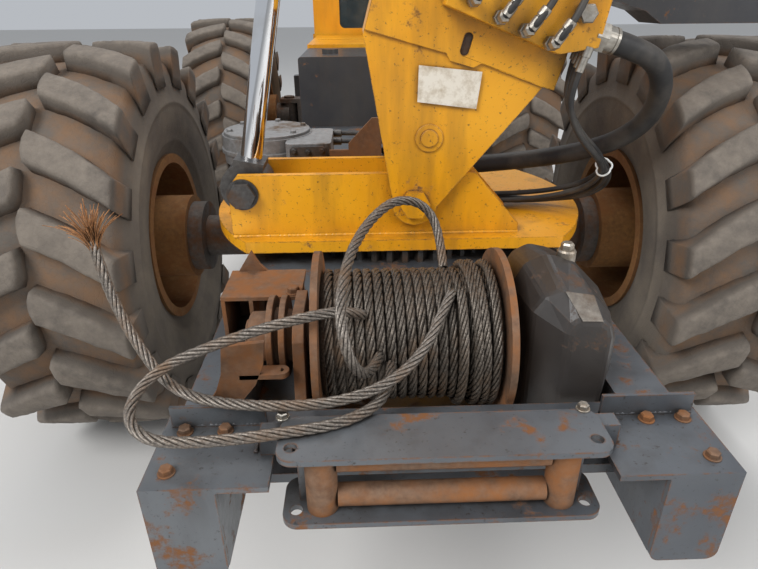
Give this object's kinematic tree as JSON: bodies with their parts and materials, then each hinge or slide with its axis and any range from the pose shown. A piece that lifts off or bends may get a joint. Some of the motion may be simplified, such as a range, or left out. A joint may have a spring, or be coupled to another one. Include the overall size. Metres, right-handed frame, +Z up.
{
  "type": "tree trimming machine",
  "caption": "Wheeled tree trimming machine with cab, slewing telescopic boom, circular saw head, recovery winch and roller fairlead.",
  "frame": {"origin": "middle of the machine's bounding box on the floor, boom as parked", "axes": "+X to the machine's right, +Y forward, +Z up"},
  "size_m": [5.6287, 6.725, 6.9546],
  "materials": {
    "bright_steel": "brushed",
    "cast": "rough cast",
    "chrome_rod": "polished",
    "dark_paint": "matt",
    "fibreglass": "satin",
    "frame_paint": "worn, matt",
    "glass": "clear",
    "lamp_lens": "glossy",
    "rusty_steel": "rusty",
    "seat_fabric": "matt",
    "tyre_rubber": "dusty, matt",
    "yellow_paint": "weathered gloss"
  },
  "bodies": {
    "chassis": {"cab_console": "dark_paint", "cab_floor": "frame_paint", "cab_front_wall": "yellow_paint", "cab_glass": "glass", "cab_left_wall": "yellow_paint", "cab_rear_wall": "yellow_paint", "cab_right_wall": "yellow_paint", "cab_roof": "yellow_paint", "cab_seat": "seat_fabric", "cab_step": "frame_paint", "centre_deck": "frame_paint", "engine_block": "cast", "engine_hood": "yellow_paint", "exhaust_stack": "dark_paint", "fairlead_frame": "frame_paint", "fairlead_rollers": "rusty_steel", "frame_rails": "frame_paint", "front_axle": "cast", "front_bumper": "dark_paint", "hydraulic_tank": "dark_paint", "rear_axle": "cast", "rear_deck": "frame_paint", "ring_gear": "bright_steel", "winch_clutch": "rusty_steel", "winch_drum": "rusty_steel", "winch_gearcase": "cast", "work_lamps": "lamp_lens"},
    "wheel_rear_left": {"tyre_rear_left": "tyre_rubber", "rim_rear_left": "rusty_steel"},
    "wheel_rear_right": {"tyre_rear_right": "tyre_rubber", "rim_rear_right": "rusty_steel"},
    "wheel_front_left": {"tyre_front_left": "tyre_rubber", "rim_front_left": "rusty_steel"},
    "wheel_front_right": {"tyre_front_right": "tyre_rubber", "rim_front_right": "rusty_steel"},
    "steering_left": {"knuckle_left": "cast"},
    "steering_right": {"knuckle_right": "cast"},
    "turret": {"turret_base": "yellow_paint", "turret_pins": "bright_steel", "swing_drive": "bright_steel", "valve_box": "dark_paint"},
    "boom": {"boom_leg": "yellow_paint", "boom_outer": "yellow_paint", "valve_manifold": "yellow_paint"},
    "boom_middle": {"boom_inner": "yellow_paint"},
    "boom_end": {"boom_tip": "fibreglass"},
    "saw_carrier": {"saw_head": "yellow_paint"},
    "saw": {"saw_blade": "bright_steel"},
    "cylinder_barrel": {"lift_barrel": "yellow_paint"},
    "cylinder_rod": {"lift_rod": "chrome_rod"},
    "door": {"cab_door": "yellow_paint", "door_glass": "glass"}
  },
  "joints": [
    {"name": "wheel_rear_left_spin", "type": "hinge", "parent": "chassis", "child": "wheel_rear_left", "pos_m": [0.121, -1.708, 0.79859], "axis": [1, 0, 0], "continuous": true},
    {"name": "wheel_rear_right_spin", "type": "hinge", "parent": "chassis", "child": "wheel_rear_right", "pos_m": [2.521, -1.708, 0.79859], "axis": [1, 0, 0], "continuous": true},
    {"name": "wheel_front_left_spin", "type": "hinge", "parent": "steering_left", "child": "wheel_front_left", "pos_m": [0.121, 1.242, 0.79859], "axis": [1, 0, 0], "continuous": true},
    {"name": "wheel_front_right_spin", "type": "hinge", "parent": "steering_right", "child": "wheel_front_right", "pos_m": [2.521, 1.242, 0.79859], "axis": [1, 0, 0], "continuous": true},
    {"name": "steer_left", "type": "hinge", "parent": "chassis", "child": "steering_left", "pos_m": [0.561, 1.242, 0.79859], "axis": [0, 0, 1], "range_deg": [-22, 22]},
    {"name": "steer_right", "type": "hinge", "parent": "chassis", "child": "steering_right", "pos_m": [2.081, 1.242, 0.79859], "axis": [0, 0, 1], "range_deg": [-22, 22]},
    {"name": "turret_slew", "type": "hinge", "parent": "chassis", "child": "turret", "pos_m": [1.321, -1.958, 1], "axis": [0, 0, 1], "continuous": true},
    {"name": "boom_lift", "type": "hinge", "parent": "turret", "child": "boom", "pos_m": [1.351, -2.228, 1.15], "axis": [0, 1, 0], "range_deg": [-40, 25]},
    {"name": "boom_middle_slide", "type": "slide", "parent": "boom", "child": "boom_middle", "axis": [-0.766, 0, 0.6428], "range_m": [0, 2.6]},
    {"name": "boom_end_slide", "type": "slide", "parent": "boom_middle", "child": "boom_end", "axis": [-0.766, 0, 0.6428], "range_m": [0, 2.4]},
    {"name": "saw_turn", "type": "hinge", "parent": "boom_end", "child": "saw_carrier", "pos_m": [-2.14893, -2.228, 6.34732], "axis": [-0.766, 0, 0.6428], "range_deg": [-100, 100]},
    {"name": "saw_spin", "type": "hinge", "parent": "saw_carrier", "child": "saw", "pos_m": [-2.5092, -2.228, 6.64962], "axis": [0, 1, 0], "continuous": true},
    {"name": "cylinder_swing", "type": "hinge", "parent": "boom", "child": "cylinder_barrel", "pos_m": [1.10252, -2.228, 2.59936], "axis": [0, 1, 0], "range_deg": [-1.3, 0.8]},
    {"name": "cylinder_stroke", "type": "slide", "parent": "cylinder_barrel", "child": "cylinder_rod", "axis": [-0.2045, 0, -0.9789], "range_m": [-0.37, 0.24]},
    {"name": "door_swing", "type": "hinge", "parent": "chassis", "child": "door", "pos_m": [0.744, 3.058, 1.24], "axis": [0, 0, -1], "range_deg": [0, 85]}
  ],
  "couplings": [
    {"joint": "steer_right", "follows": "steer_left", "ratio": 1},
    {"joint": "boom_end_slide", "follows": "boom_middle_slide", "ratio": 0.92308},
    {"joint": "cylinder_swing", "follows": "boom_lift", "ratio": 0.03},
    {"joint": "cylinder_stroke", "follows": "boom_lift", "m_per_rad": 0.52}
  ]
}
